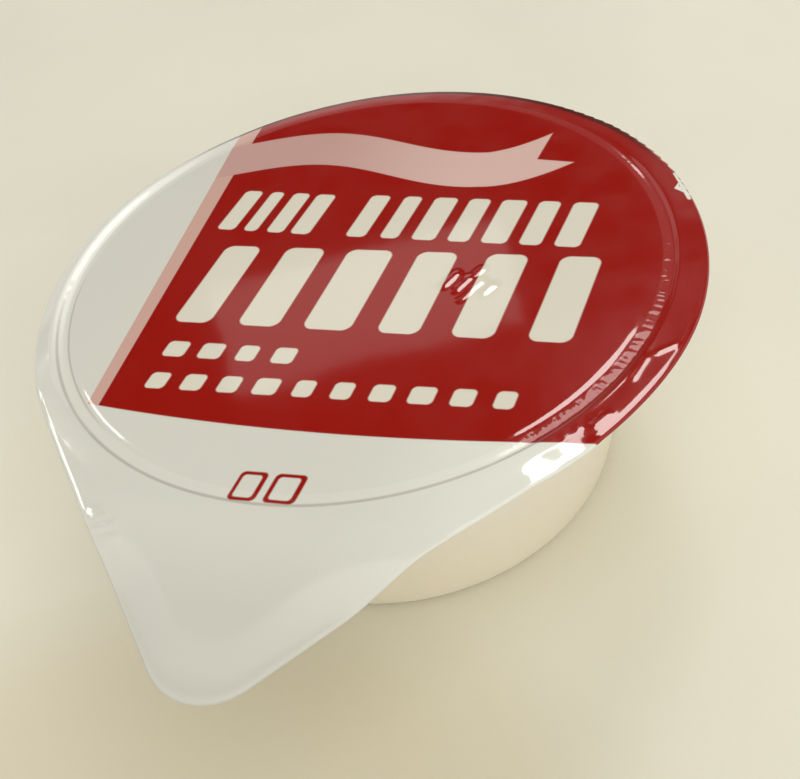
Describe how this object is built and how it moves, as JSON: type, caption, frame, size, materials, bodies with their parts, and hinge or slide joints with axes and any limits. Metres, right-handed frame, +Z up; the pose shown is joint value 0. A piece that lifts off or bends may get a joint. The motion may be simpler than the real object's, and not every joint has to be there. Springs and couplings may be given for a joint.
{
  "type": "butter portion cup",
  "caption": "Shut round portion cup of butter: tapered milky plastic cup with a flange, under a heat-sealed printed film lid with a drooping pull tab.",
  "frame": {"origin": "middle of the flat base that the cup stands on", "axes": "+Z up along the cup's axis, -Y from the cup's axis towards the pull tab"},
  "size_m": [0.0399, 0.048, 0.0153],
  "materials": {
    "cup_plastic": "smooth thermoformed milky plastic",
    "lid_film": "glossy printed film, red, off-white and pink"
  },
  "bodies": {
    "root": {"cup": "cup_plastic", "lid": "lid_film"}
  },
  "joints": []
}
